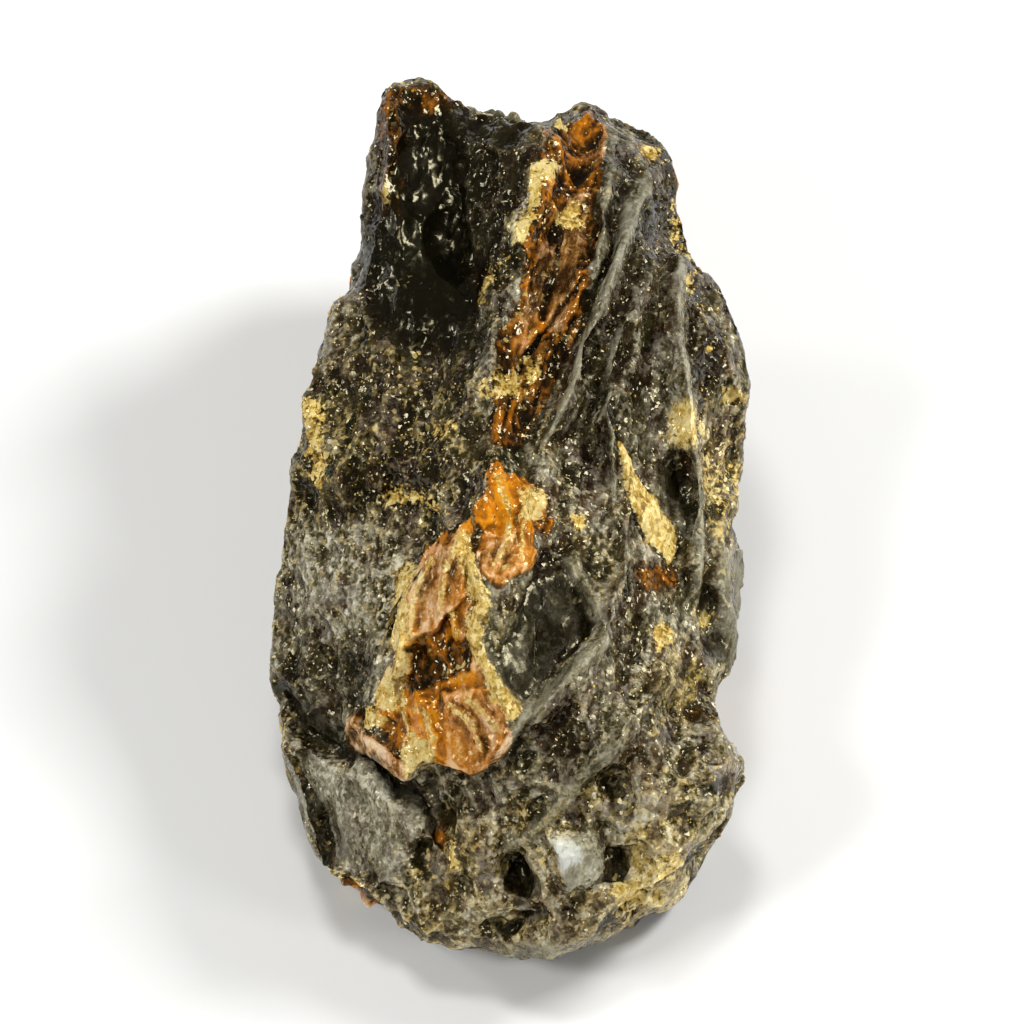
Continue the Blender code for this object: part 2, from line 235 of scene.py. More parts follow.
FACETS = (
    (DARK_FACET, 0.35, CRISP), (GREY_FACET, -0.3, 2.2), (FACET_WITH_PAINTED_HIGHLIGHT, -0.35, CRISP),
    (SIDE_FACET, 0.7, CRISP), (APEX_FACET, -0.3, CRISP), (OVAL_FACET, -0.2, CRISP),
    (LOWER_FACET, 0.35, CRISP), (SLAB_FACETS[0], -0.15, CRISP), (SLAB_FACETS[1], 0.4, CRISP),
    (SLAB_FACETS[2], -0.1, CRISP), (SLAB_FACETS[3], -0.25, CRISP), (VALLEY_FACET, 0.1, CRISP),
)
HOLLOWS = (
    # middle, radii, turn in degrees, depth
    ((0.7, -27.6), (1.1, 1.7), 15.0, 1.0), ((0.3, -31.1), (2.0, 0.8), 5.0, 0.8),
    ((8.2, -26.4), (0.9, 1.2), 0.0, 0.8), ((15.4, -20.6), (1.3, 0.8), 20.0, 0.9),
    ((-5.6, 22.0), (2.4, 5.4), 12.0, 0.5), ((15.4, -6.4), (0.8, 1.6), 10.0, 0.6),
    ((15.6, -10.2), (0.8, 1.5), 0.0, 0.6), ((11.2, -14.0), (1.7, 1.3), 30.0, 0.6),
)

out = from_heart @ TO_VIEWER  # how far each point stands out towards the viewer
for corners, sink, feather in FACETS:
    share = patch(u, v, corners, feather) * facing
    inside = share > 0.5
    slopes = np.column_stack((np.ones(inside.sum()), straight_u[inside], straight_v[inside]))
    level, rise_u, rise_v = np.linalg.lstsq(slopes, out[inside], rcond=None)[0]
    flat = level + rise_u * straight_u + rise_v * straight_v - sink
    out += (flat - out) * share
raised = (
    # path, width and tip width of the flat top, height, all in mm
    (RIB_A, 1.5, 0.3, 0.35), (STRIP, 1.3, 0.7, 0.25), (RIB_B, 0.6, 0.3, 0.25),
    (RIB_B_BRANCH, 0.5, 0.3, 0.2), (RIB_C, 0.6, 0.4, 0.3), (DIAGONAL_1, 1.1, 0.7, 0.3),
    (DIAGONAL_2, 0.9, 0.5, 0.25), (BLADE, 0.6, 1.1, 0.6), (FLANGE, 1.5, 1.1, 0.6),
    (VEIL, 1.3, 0.6, 0.25),
)
relief = ridge(flow_u, flow_v, VEIN_RIM, 0.7, 0.55) + ridge(flow_u, flow_v, RIB_A, 0.25, 0.9)
for path, width, tip_width, height in raised:
    relief += band(flow_u, flow_v, path, width, tip_width, 0.35) * height
relief -= ridge(u, v, CRACK, 0.5, 1.0) + ridge(u, v, SLAB_EDGE, 0.8, 0.5)
relief -= ridge(u, v, POCKET, 0.8, 1.0) + ridge(flow_u, flow_v, VEIN_CREASE, 0.7, 0.5)
for crease in VEIN_STRIPES:
    relief -= ridge(flow_u, flow_v, crease, 0.4, 0.45)
for fold in SHEET_FOLDS:
    relief += ridge(flow_u, flow_v, fold, 0.6, 0.6, 0.3)
for centre, radii, turn, depth in HOLLOWS:
    relief -= spot(u, v, centre, radii, turn) * depth
out += relief * facing
points += np.outer(out - from_heart @ TO_VIEWER, TO_VIEWER)
write_points(worked, points)


# ---- Where the lump is bare, crusted, orange or satin ---------------------------------------
# Raw amber is not one colour. Sound resin shows orange where it is clear and black where it is
# deep, the flow ribs and veils are smooth and grey, and the rest is crusted with weathered resin
# and earth. The dark share also carries painted shade: a painted shadow over the upper left hollow,
# and painted shade in the crack and the pits. One facet at the foot carries a painted highlight.
# Each finish is held as a share from 0 to 1 at each point of the mesh.
def most(*shares):
    return np.maximum.reduce(shares)


def painted(base, *coats):
    """A share that starts at the base and takes each coat's value where the coat covers it."""
    share = np.full(u.shape, float(base))
    for value, cover in coats:
        share += (value - share) * cover
    return share


VEIN = [(3.9, 32.2), (7.0, 32.0), (7.3, 28.5), (6.5, 24.5), (6.0, 20.0), (5.6, 16.5), (4.4, 12.0),
        (2.4, 8.2), (0.3, 4.4), (-1.5, 5.4), (-1.9, 9.3), (-1.3, 12.8), (0.9, 16.4), (0.9, 20.0),
        (0.2, 22.4), (1.2, 25.6), (2.6, 29.0)]
TRIANGLE = [(-1.75, 5.1), (-0.4, 3.0), (1.6, 2.8), (3.0, 1.2), (3.1, -1.6), (2.2, -3.6),
            (0.6, -4.8), (-1.4, -5.6), (-3.2, -3.0), (-3.2, -0.6), (-2.4, 2.4)]
SLAB = [(-3.6, -0.4), (-6.7, -2.9), (-8.4, -5.5), (-9.5, -10.6), (-10.6, -15.2), (-9.4, -18.6),
        (-6.2, -20.5), (-2.2, -19.6), (0.2, -16.9), (-1.2, -13.4), (-2.6, -10.0), (-2.2, -7.1),
        (-3.2, -3.6)]
LEFT_GLASS = [(-10.2, 32.1), (-8.1, 33.0), (-7.4, 30.0), (-8.4, 22.3), (-10.6, 23.0)]
# The upper left hollow is painted dark, lighter in its middle, as the shadow a lump beside it would
# cast.
HOLLOW_IN_PAINTED_SHADOW = [(-8.0, 31.0), (1.4, 30.6), (-0.4, 22.6), (-2.6, 17.5), (-3.6, 12.5), (-9.0, 12.5),
               (-12.0, 20.0)]
LEFT_BULGE = [(-4.0, 12.5), (-2.6, 5.0), (-4.0, -0.6), (-8.0, -3.6), (-17.5, -0.4),
              (-17.0, 8.0), (-13.4, 14.0)]
WEDGE = [(8.2, 5.9), (9.3, 4.4), (10.4, 1.6), (12.0, -0.8), (12.7, -2.8), (12.0, -4.0),
         (10.2, -1.6), (9.0, 1.4)]
RIGHT_TAN = [(15.0, 4.4), (18.4, 4.0), (17.6, -2.4), (15.6, -2.0)]
VEIN_MARGIN = [(2.9, 27.6), (1.9, 25.2), (1.2, 23.4), (0.8, 21.8), (0.7, 20.2)]
RIB_FIELD = [(5.6, 30.0), (12.0, 29.0), (16.0, 16.0), (14.0, 4.0), (4.0, 3.0)]
INNER_RIBS = [(6.6, 30.0), (11.0, 27.0), (13.4, 14.0), (13.0, 4.0), (5.4, 3.0)]
FLOWING = [(-4.0, 34.0), (12.0, 32.0), (20.0, 14.0), (19.0, -14.0), (8.0, -12.0), (2.0, 2.0),
           (-3.0, 10.0)]
GLARE = [(2.6, -24.8), (4.6, -24.7), (5.6, -26.0), (3.6, -27.4)]  # brightest part of the painted highlight on the bright facet
FOOT = [(-18.0, -19.0), (-7.0, -23.0), (0.0, -22.0), (9.0, -20.0), (18.0, -18.0), (18.0, -34.5),
        (-18.0, -34.5)]

orange = most(
    patch(u, v, VEIN),
    patch(u, v, TRIANGLE),
    patch(u, v, SLAB),
    band(u, v, FLANGE, 1.9, 1.3) * 0.9,
    patch(u, v, LEFT_GLASS),
    spot(u, v, (-6.4, 31.6), (2.4, 1.4)) * 0.8,
    spot(u, v, (-5.6, -24.9), (0.8, 0.9)) * 0.9,
    spot(u, v, (11.1, -4.9), (1.9, 1.6)) * 0.75,
    spot(u, v, (14.3, -15.3), (1.6, 0.9), -15.0) * 0.6,
)
ember = painted(
    0.3,
    (0.27, patch(u, v, VEIN)),
    (0.66, patch(u, v, SLAB)),
    (0.36, band(u, v, FLANGE, 1.9, 1.3)),
    (0.1, patch(u, v, LEFT_GLASS)),
    (0.62, spot(u, v, (5.9, 29.9), (1.2, 1.7))),
    (0.4, spot(u, v, (4.6, 26.4), (1.8, 2.6), -12.0) * 0.8),
    (0.52, spot(u, v, (2.6, 14.8), (0.7, 2.2), -40.0)),
    (0.46, spot(u, v, (0.9, 13.2), (0.7, 1.4), -20.0)),
    (0.12, spot(u, v, (3.4, 11.0), (1.0, 2.4), -20.0) * 0.8),
    (0.66, patch(u, v, TRIANGLE, 1.4)),
    (0.5, spot(u, v, (-1.6, 4.2), (0.7, 1.2))),
    (1.0, spot(u, v, (-0.6, 0.9), (1.1, 2.3), -8.0)),
    (0.96, spot(u, v, (1.5, -2.7), (1.1, 1.2))),
    (0.4, spot(u, v, (-1.3, -3.2), (1.2, 0.9))),
    (0.88, spot(u, v, (-4.4, -18.0), (1.5, 1.5))),
    (0.9, spot(u, v, (-6.2, -16.2), (1.1, 1.2))),
    (0.56, spot(u, v, (-2.2, -16.8), (1.2, 1.6), 30.0)),
    (0.26, patch(u, v, SLAB_FACETS[1], 0.8)),
    (0.82, spot(u, v, (-8.0, -9.6), (0.8, 2.2))),
    (0.42, spot(u, v, (-5.2, -3.6), (1.0, 1.8), 40.0)),
    (0.3, spot(u, v, (-7.2, -5.4), (0.7, 1.6), 30.0)),
    (0.74, spot(u, v, (-3.9, -8.2), (0.9, 1.8), -20.0)),
    (0.4, spot(u, v, (11.1, -4.9), (1.9, 1.6))),
)
gold = most(
    spot(u, v, (4.1, 30.8), (0.9, 0.8)),
    band(u, v, VEIN_MARGIN, 1.5, 1.2),
    spot(u, v, (4.6, 22.6), (1.1, 1.6), -15.0) * 0.8,
    band(u, v, [(0.2, 19.6), (-1.9, 18.2), (-2.4, 15.4)], 0.6) * 0.75,
    spot(u, v, (-1.0, 9.7), (2.0, 1.5)) * 0.7,
    spot(u, v, (1.4, 10.9), (0.8, 1.6), -25.0) * 0.6,
    spot(u, v, (1.75, 0.6), (1.3, 1.7)) * 0.9,
    band(u, v, [(-4.4, -1.4), (-3.8, -3.6), (-3.0, -5.8), (-2.1, -8.0)], 0.9) * 0.85,
    band(u, v, BLADE, 0.8, 1.4),
    band(u, v, [(-7.4, -4.0), (-8.5, -6.6), (-8.8, -10.0), (-9.0, -12.6), (-9.8, -15.0)],
         1.0, 1.8) * 0.85,
    spot(u, v, (-10.6, -15.4), (1.2, 1.0)) * 0.85,
    spot(u, v, (-7.3, -18.5), (1.2, 2.0)),
    # painted highlights: thin gold lines along the crests of the sheet folds
    *(band(flow_u, flow_v, fold, 0.45, 0.3, 0.8) * 0.9 for fold in SHEET_FOLDS),
    patch(flow_u, flow_v, WEDGE, 0.4),
    spot(u, v, (13.2, 6.5), (1.5, 2.1)),
    patch(u, v, RIGHT_TAN) * 0.3,
    spot(u, v, (17.2, 8.3), (0.8, 1.0)) * 0.85,
    spot(u, v, (15.0, 12.5), (0.4, 0.6)),
    spot(u, v, (5.3, -0.7), (1.1, 0.9)) * 0.7,
    spot(u, v, (11.5, -9.3), (0.9, 1.0)) * 0.9,
    spot(u, v, (15.4, -7.8), (0.5, 0.6)) * 0.9,
    spot(u, v, (10.9, 28.2), (1.6, 0.8), -30.0) * 0.7,
    band(u, v, [(12.9, 25.0), (13.6, 20.0), (14.6, 15.4)], 1.0) * 0.5,
    band(u, v, [(-15.6, 9.4), (-15.2, 4.8), (-14.9, 1.0)], 1.4) * 0.62,
    spot(u, v, (-8.6, 0.8), (2.4, 1.0)) * 0.6,
    spot(u, v, (-5.4, 6.6), (1.6, 1.1)) * 0.55,
    spot(u, v, (-4.6, -26.2), (0.9, 1.4), 20.0) * 0.65,
    spot(u, v, (8.9, -29.3), (1.5, 1.5)) * 0.85,
    spot(u, v, (11.9, -27.0), (1.5, 1.8), -30.0) * 0.62,
    spot(u, v, (-13.0, -28.0), (3.6, 0.9), -30.0) * 0.6,
)
satin = most(
    band(flow_u, flow_v, RIB_A, 1.4, 0.3, 0.8),
    band(flow_u, flow_v, RIB_B, 0.5, 0.4, 0.8) * 0.9,
    band(flow_u, flow_v, RIB_B_BRANCH, 0.4, 0.3, 0.8) * 0.7,
    band(flow_u, flow_v, RIB_C, 0.5, 0.5, 0.8) * 0.9,
    band(flow_u, flow_v, STRIP, 1.1, 0.6, 0.8) * 0.5,
    band(flow_u, flow_v, DIAGONAL_1, 1.1, 0.8, 0.8),
    band(flow_u, flow_v, DIAGONAL_2, 1.6, 1.2, 0.9) * 0.7,
    band(u, v, BLADE, 1.8, 2.4) * 0.85,
    patch(flow_u, flow_v, WEDGE, 0.3) * 0.7,
    patch(u, v, SLAB_FACETS[0], 1.2) * 0.7,
    patch(u, v, SLAB_FACETS[3], 1.2) * 0.64,
    patch(u, v, LOWER_FACET, 1.2) * 0.66,
    band(u, v, FLANGE, 1.5, 1.1) * 0.8,
    band(flow_u, flow_v, [(5.2, 25.0), (4.4, 19.6), (3.0, 13.4)], 1.6, 1.2, 0.8) * 0.58,
    band(flow_u, flow_v, [(3.0, 20.6), (1.9, 16.4), (0.4, 12.0)], 1.2, 0.8, 0.8) * 0.45,
    band(u, v, FAR_EDGE, 1.8, 1.4),
    band(flow_u, flow_v, VEIL, 1.6, 0.9, 0.9) * 0.8,
    patch(u, v, GREY_FACET, 2.4) * 0.46,
    # painted highlight: the bright facet takes the pale satin colour
    patch(u, v, FACET_WITH_PAINTED_HIGHLIGHT, 0.5),
    band(u, v, [(-2.0, -33.6), (1.4, -33.2), (4.8, -33.2), (7.0, -32.0)], 1.6) * 0.8,
)
dark = most(
    patch(u, v, DARK_FACET, 1.2),
    # painted shadow over the upper left hollow, lighter in its middle
    patch(u, v, HOLLOW_IN_PAINTED_SHADOW, 6.0) * (0.95 - 0.5 * spot(u, v, (-1.8, 25.0), (2.6, 6.5))),
    # painted shade: the sunk side facet and the pits, where the mesh is hollowed, are painted dark
    patch(u, v, SIDE_FACET),
    spot(u, v, (0.7, -27.6), (1.2, 1.7)),
    spot(u, v, (0.3, -31.1), (2.0, 0.8)),
    spot(u, v, (8.2, -26.4), (1.0, 1.3)),
    spot(u, v, (15.4, -20.6), (1.4, 0.9)),
    spot(u, v, (15.4, -6.4), (0.9, 1.6)) * 0.8,
    spot(u, v, (15.6, -10.2), (0.9, 1.5)) * 0.8,
    spot(u, v, (10.6, 8.6), (2.0, 3.4)) * 0.5,
    spot(u, v, (12.2, 1.4), (1.1, 3.6), 18.0) * 0.9,
    spot(u, v, (13.6, -1.6), (0.9, 2.4), 12.0) * 0.6,
    patch(u, v, SLAB_FACETS[1], 0.8) * 0.35,
    # painted shade in the crack under the ledge
    band(u, v, CRACK, 1.4, 1.2),
)
pale = painted(
    0.52,
    (0.4, patch(u, v, RIB_FIELD, 3.0)),
    # painted shadow over the upper left hollow: the crust kept dark there, lighter in its middle
    (0.04, patch(u, v, HOLLOW_IN_PAINTED_SHADOW, 6.0)),
    (0.36, spot(u, v, (-1.8, 25.0), (2.6, 6.5))),
    (0.4, patch(u, v, LEFT_BULGE, 3.0)),
    (0.64, spot(u, v, (-12.5, -5.4), (4.6, 4.8))),
    (0.3, spot(u, v, (-13.0, -12.6), (4.4, 2.8))),
    (0.58, spot(u, v, (11.4, 11.5), (1.7, 6.5), 8.0)),
    (0.57, patch(u, v, FOOT, 3.0)),
    (0.62, patch(u, v, GREY_FACET, 2.4)),
    (0.56, spot(u, v, (14.0, -21.4), (3.0, 4.6)) * 0.8),
    (0.5, band(u, v, FAR_EDGE, 3.0, 2.4)),
    # painted highlight on the bright facet, brightest at GLARE
    (0.6, patch(u, v, FACET_WITH_PAINTED_HIGHLIGHT, 0.4)),
    (1.0, patch(flow_u, flow_v, GLARE, 0.5)),
    (0.86, spot(u, v, (10.6, -27.6), (3.0, 4.0)) * 0.8),
    (0.42, spot(u, v, (4.0, -17.5), (3.6, 2.6), 40.0)),
    (0.55, band(flow_u, flow_v, RIB_A, 1.4, 0.3, 0.8)),
    (0.57, band(flow_u, flow_v, RIB_B, 0.6, 0.5, 0.8)),
    (0.57, band(flow_u, flow_v, RIB_C, 0.6, 0.6, 0.8)),
    (0.5, band(flow_u, flow_v, DIAGONAL_1, 1.1, 0.8, 0.8)),
    (0.9, band(u, v, VEIN_MARGIN, 2.0)),
    (0.8, band(u, v, [(-7.4, -4.0), (-8.8, -10.0), (-9.8, -15.0)], 2.4)),
    (1.0, spot(u, v, (-7.3, -18.5), (1.6, 2.4))),
    (0.9, spot(u, v, (13.2, 6.5), (1.8, 2.4))),
    (0.8, spot(u, v, (1.75, 0.6), (1.6, 2.0))),
)
ochre = painted(
    0.25,
    (0.52, patch(u, v, LEFT_BULGE, 3.0)),
    (0.15, spot(u, v, (-12.5, -5.4), (4.6, 4.8))),
    (0.1, spot(u, v, (-13.0, -12.6), (4.4, 2.8))),
    (0.42, patch(u, v, FOOT, 3.0)),
    (0.1, patch(u, v, GREY_FACET, 1.6)),
    # no ochre under the painted highlight on the bright facet
    (0.0, patch(u, v, FACET_WITH_PAINTED_HIGHLIGHT, 1.6)),
    (0.08, patch(u, v, INNER_RIBS, 3.0)),
    (0.12, spot(u, v, (11.4, 11.5), (1.7, 6.5), 8.0)),
    (0.7, spot(u, v, (10.6, -27.6), (3.0, 4.0))),
    (0.6, spot(u, v, (16.4, 2.0), (1.6, 6.0))),
    (0.65, spot(u, v, (13.0, -13.0), (2.2, 3.0))),
)

flow = painted(
    0.35,
    (1.0, patch(u, v, FLOWING, 3.0)),
    (0.1, patch(u, v, LEFT_BULGE, 3.0)),
    (0.2, patch(u, v, FOOT, 3.0)),
)

# Round the sides and back, the same skins come in patches as the noise has them.
away = 1.0 - facing
drift = fractal(from_heart * (1.0, 0.5, 1.0), 9.0, 4, 3)
drift_2 = fractal(from_heart * (1.0, 0.4, 1.0), 7.0, 4, 4)
drift_3 = fractal(from_heart * (1.0, 0.25, 1.0), 6.0, 4, 5)
zones = {
    "orange": orange * facing + ramp(0.42, 0.6, drift) * away,
    "ember": ember * facing + ramp(0.2, 0.9, drift) * 0.8 * away,
    "gold": gold * facing + ramp(0.4, 0.62, drift_2) * 0.62 * away,
    "satin": satin * facing + ramp(0.3, 0.5, drift_3) * 0.9 * away,
    "dark": dark * facing + ramp(0.35, 0.6, -drift_2) * away,
    "pale": pale * facing + (0.36 + 0.4 * np.clip(-drift, -0.8, 0.8)) * away,
    "ochre": ochre * facing + (0.4 + 0.5 * np.clip(drift_3, -0.8, 0.8)) * away,
    "flow": flow * facing + 0.6 * away,
}
for name, share in zones.items():
    held = worked.attributes.new(name, "FLOAT", "POINT")
    held.data.foreach_set("value", np.clip(share, 0.0, 1.0).astype(np.float32))


# ---- The chips broken off it -----------------------------------------------------------------
# Amber breaks like glass, in small shells. Each chip takes a shallow scoop out of the surface, so
# neighbours meet in sharp crests. The chips run a little lengthways, as the resin flowed, and
# leave the smooth ribs, veils and facets alone.
CHIP_SIZES = (
    # radius, depth, how many, how far each is tilted, seed
    (3.2, 0.42, 150, 0.10, 11),
    (1.7, 0.26, 800, 0.14, 12),
    (0.9, 0.14, 3200, 0.18, 13),
)
FLOW_STRETCH = np.array((1.0, 0.62, 1.0))
SHALLOWEST = 0.02  # a chip less deep than this, in mm, is left out
LEFT_ALONE = 0.92  # how much the smooth places are spared


def chip_away(points, normals, open_share, radius, depth, count, tilt, seed):
    """Takes scoops out of the surface, each by a ball that dips into it to the given depth."""
    dice = np.random.default_rng(seed)
    places = points * FLOW_STRETCH
    tree_of_points = kdtree.KDTree(len(places))
    for number, place in enumerate(places):
        tree_of_points.insert(place, number)
    tree_of_points.balance()
    aims = normals / FLOW_STRETCH + dice.normal(0.0, tilt, points.shape)
    aims /= np.linalg.norm(aims, axis=1)[:, None]
    picks = dice.choice(len(points), count, replace=False)
    sizes = dice.uniform(0.5, 1.2, count)
    for pick, size in zip(picks, sizes):
        deep = depth * size * open_share[pick]
        if deep < SHALLOWEST:
            continue
        wide = radius * size
        ball = (wide * wide + deep * deep) / (2.0 * deep)
        found = tree_of_points.find_range(places[pick], wide * 1.3)
        near = [number for _, number, _ in found]
        fade = ramp(1.3, 1.0, np.array([gap for _, _, gap in found]) / wide)
        arms = places[near] - (places[pick] + aims[pick] * (ball - deep))
        height = -(arms @ aims[pick])
        beside = (arms * arms).sum(axis=1) - height * height
        dip = np.sqrt(np.clip(ball * ball - beside, 0.0, None)) - height
        dip = np.clip(dip, 0.0, deep * 1.3) * fade * open_share[near]
        places[near] -= np.outer(dip, aims[pick])
    return places / FLOW_STRETCH


smooth_places = most(zones["satin"], patch(u, v, DARK_FACET, 1.2) * facing,
                     (1.0 - ramp(0.2, 1.6, points[:, 2])))
open_share = 1.0 - np.clip(smooth_places, 0.0, 1.0) * LEFT_ALONE
for radius, depth, count, tilt, seed in CHIP_SIZES:
    points = chip_away(points, read_normals(worked), open_share, radius, depth, count, tilt, seed)
    write_points(worked, points)


# ---- The lump's fine skin --------------------------------------------------------------------
# Over the chips the crust is a rind of fine grains, and threads of the resin's flow run
# lengthways. Both are cut into the mesh. Each point then notes how far it stands out from its
# surroundings, and the colour uses this to lighten crests and darken hollows: partly wear and dust,
# partly a painted highlight on the crests and painted shade in the hollows.
def add(tree, kind, inputs=None, **settings):
    """Adds a node, sets its properties, and sets or links its inputs."""
    node = tree.nodes.new(kind)
    for key, value in settings.items():
        setattr(node, key, value)
    for key, value in (inputs or {}).items():
        if isinstance(value, bpy.types.NodeSocket):
            tree.links.new(value, node.inputs[key])
        else:
            node.inputs[key].default_value = value
    return node


def math_of(tree, operation, *values):
    """The result of a Math node on numbers or sockets."""
    return add(tree, "ShaderNodeMath", dict(enumerate(values)), operation=operation).outputs[0]


def new_tree(name, sizes):
    """An empty geometry tree whose named inputs are the given sizes, in metres."""
    tree = bpy.data.node_groups.new(name, "GeometryNodeTree")
    tree.interface.new_socket("Geometry", in_out="INPUT", socket_type="NodeSocketGeometry")
    tree.interface.new_socket("Geometry", in_out="OUTPUT", socket_type="NodeSocketGeometry")
    for size_name, value in sizes.items():
        socket = tree.interface.new_socket(size_name, in_out="INPUT", socket_type="NodeSocketFloat")
        socket.default_value = value
    return tree


def run_tree(obj, tree, sizes):
    """Runs a tree on the object, sets its inputs by their identifiers, and keeps the mesh."""
    modifier = obj.modifiers.new(tree.name, "NODES")
    modifier.node_group = tree
    for item in tree.interface.items_tree:
        if item.in_out == "INPUT" and item.name in sizes:
            modifier[item.identifier] = sizes[item.name]
    mesh = evaluated_copy(obj)
    obj.modifiers.clear()
    return mesh


def stretched(tree, place, factors):
    """A place scaled along each axis, which stretches a pattern where a factor is below 1."""
    return add(tree, "ShaderNodeVectorMath", {0: place, 1: factors},
               operation="MULTIPLY").outputs[0]


def share_of(tree, name):
    """The share of a zone at each point, from 0 to 1."""
    return add(tree, "GeometryNodeInputNamedAttribute", {"Name": name},
               data_type="FLOAT").outputs["Attribute"]


SKIN_SIZES = {
    "Lump": 1.5 * MM, "Lump height": 0.3 * MM, "Grain": 0.6 * MM, "Grain height": 0.34 * MM,
    "Thread": 0.9 * MM, "Thread height": 0.24 * MM,
}
skin = new_tree("fine_skin", SKIN_SIZES)
given = add(skin, "NodeGroupInput").outputs
place = add(skin, "GeometryNodeInputPosition").outputs[0]


def skin_noise(size, height, place, seed, **settings):
    """Noise with lumps of a given size, centred on 0, as a height in metres."""
    shifted = add(skin, "ShaderNodeVectorMath", {0: place, 1: (seed, -seed, seed)},
                  operation="ADD").outputs[0]
    value = add(skin, "ShaderNodeTexNoise", {
        "Vector": shifted, "Scale": math_of(skin, "DIVIDE", 1.0, given[size]), "Detail": 4.0,
        "Roughness": 0.6}, **settings).outputs[0]
    return math_of(skin, "MULTIPLY", math_of(skin, "SUBTRACT", value, 0.5), given[height])


lumps = skin_noise("Lump", "Lump height", stretched(skin, place, (1.0, 0.6, 1.0)), 0.1)
grains = skin_noise("Grain", "Grain height", place, 0.2)
threads = skin_noise("Thread", "Thread height", stretched(skin, place, (1.0, 0.14, 1.0)), 0.3)
threads = math_of(skin, "MULTIPLY", threads, math_of(
    skin, "SUBTRACT", 1.0, math_of(skin, "MULTIPLY", share_of(skin, "satin"), 0.8)))
smooth_share = math_of(skin, "MAXIMUM", share_of(skin, "satin"), math_of(
    skin, "MAXIMUM", math_of(skin, "MULTIPLY", share_of(skin, "orange"), 0.3),
    math_of(skin, "MULTIPLY", share_of(skin, "dark"), 0.75)))
rough_share = math_of(skin, "SUBTRACT", 1.0, math_of(skin, "MULTIPLY", smooth_share, 0.85))
height = math_of(skin, "MULTIPLY", math_of(skin, "ADD", lumps, grains), rough_share)
height = math_of(skin, "ADD", height, threads)
above_base = add(skin, "ShaderNodeSeparateXYZ", {0: place}).outputs["Z"]
lifted = add(skin, "ShaderNodeMapRange", {0: above_base, 1: 0.2 * MM,
                                          2: 2.0 * MM}).outputs[0]  # the resting face stays flat
push = add(skin, "ShaderNodeVectorMath", {
    0: add(skin, "GeometryNodeInputNormal").outputs[0],
    "Scale": math_of(skin, "MULTIPLY", height, lifted)}, operation="SCALE")
moved = add(skin, "GeometryNodeSetPosition", {"Geometry": given["Geometry"],
                                              "Offset": push.outputs[0]})


def stands_out(passes, reach):
    """How far a point stands out from its surroundings, from 0 in a hollow to 1 on a crest."""
    here = add(skin, "GeometryNodeInputPosition").outputs[0]
    around = add(skin, "GeometryNodeBlurAttribute", {"Value": here, "Iterations": passes},
                 data_type="FLOAT_VECTOR")
    around = [s for s in around.outputs if s.enabled][0]
    apart = add(skin, "ShaderNodeVectorMath", {0: here, 1: around}, operation="SUBTRACT")
    outwards = add(skin, "ShaderNodeVectorMath", {
        0: apart.outputs[0], 1: add(skin, "GeometryNodeInputNormal").outputs[0]},
        operation="DOT_PRODUCT").outputs["Value"]
    return add(skin, "ShaderNodeMapRange", {0: outwards, 1: -reach, 2: reach}).outputs[0]


noted = add(skin, "GeometryNodeStoreNamedAttribute", {
    "Geometry": moved.outputs[0], "Name": "crest", "Value": stands_out(5, 0.05 * MM)},
    data_type="FLOAT", domain="POINT")
noted = add(skin, "GeometryNodeStoreNamedAttribute", {
    "Geometry": noted.outputs[0], "Name": "swell", "Value": stands_out(40, 0.3 * MM)},
    data_type="FLOAT", domain="POINT")
whole = add(skin, "GeometryNodeRealizeInstances", {0: noted.outputs[0]})


# ---- Raw amber's finish ----------------------------------------------------------------------
# Amber is a fossil resin, IOR 1.54. Sound resin takes light in and drinks most of it within a
# few millimetres, so it looks black with a brown glow at thin edges. The broken skin throws many
# small hard glints, and the crust on it is grainy and golden, each grain with its own polish.
def srgb(code):
    """An sRGB hex colour as linear RGBA."""
    values = [int(code[i:i + 2], 16) / 255 for i in (1, 3, 5)]
    linear = [c / 12.92 if c <= 0.04045 else ((c + 0.055) / 1.055) ** 2.4 for c in values]
    return (*linear, 1.0)


def colours_along(tree, factor, *stops):
    """A Color Ramp's colour for the factor, from rows of position and hex colour."""
    node = add(tree, "ShaderNodeValToRGB", {0: factor})
    while len(node.color_ramp.elements) < len(stops):
        node.color_ramp.elements.new(0.5)
    for element, (position, code) in zip(node.color_ramp.elements, stops):
        element.position = position
        element.color = srgb(code)
    return node.outputs[0]


def mixed(tree, factor, a, b):
    """Colour a where the factor is 0, and b where it is 1."""
    return add(tree, "ShaderNodeMix", {0: factor, 6: a, 7: b}, data_type="RGBA").outputs[2]


def blend_of(tree, factor, a, b):
    """Number a where the factor is 0, and b where it is 1."""
    return add(tree, "ShaderNodeMix", {0: factor, 2: a, 3: b}, data_type="FLOAT").outputs[0]


def tilted_chips(tree, place, cell):
    """Height of a surface broken into flat chips, one to a Voronoi cell, each tilted its own way,
    in metres."""
    arm = add(tree, "ShaderNodeVectorMath", {0: place, 1: cell.outputs["Position"]},
              operation="SUBTRACT")
    tilt = add(tree, "ShaderNodeVectorMath", {0: cell.outputs["Color"], 1: (0.5, 0.5, 0.5)},
               operation="SUBTRACT")
    return add(tree, "ShaderNodeVectorMath", {0: arm.outputs[0], 1: tilt.outputs[0]},
               operation="DOT_PRODUCT").outputs["Value"]


amber = bpy.data.materials.new("raw_amber_with_weathered_crust")
amber.use_nodes = True
tree = amber.node_tree
shader = tree.nodes["Principled BSDF"]
spots = add(tree, "ShaderNodeTexCoord").outputs["Object"]


def noise_of(size, detail, place=spots, rough=0.65):
    """Noise with lumps of the given size in mm."""
    return add(tree, "ShaderNodeTexNoise", {"Vector": place, "Scale": 1 / (size * MM),
                                            "Detail": detail, "Roughness": rough}).outputs[0]


def layer(name):
    """A number held at each point of the mesh."""
    return add(tree, "ShaderNodeAttribute", attribute_name=name).outputs["Fac"]


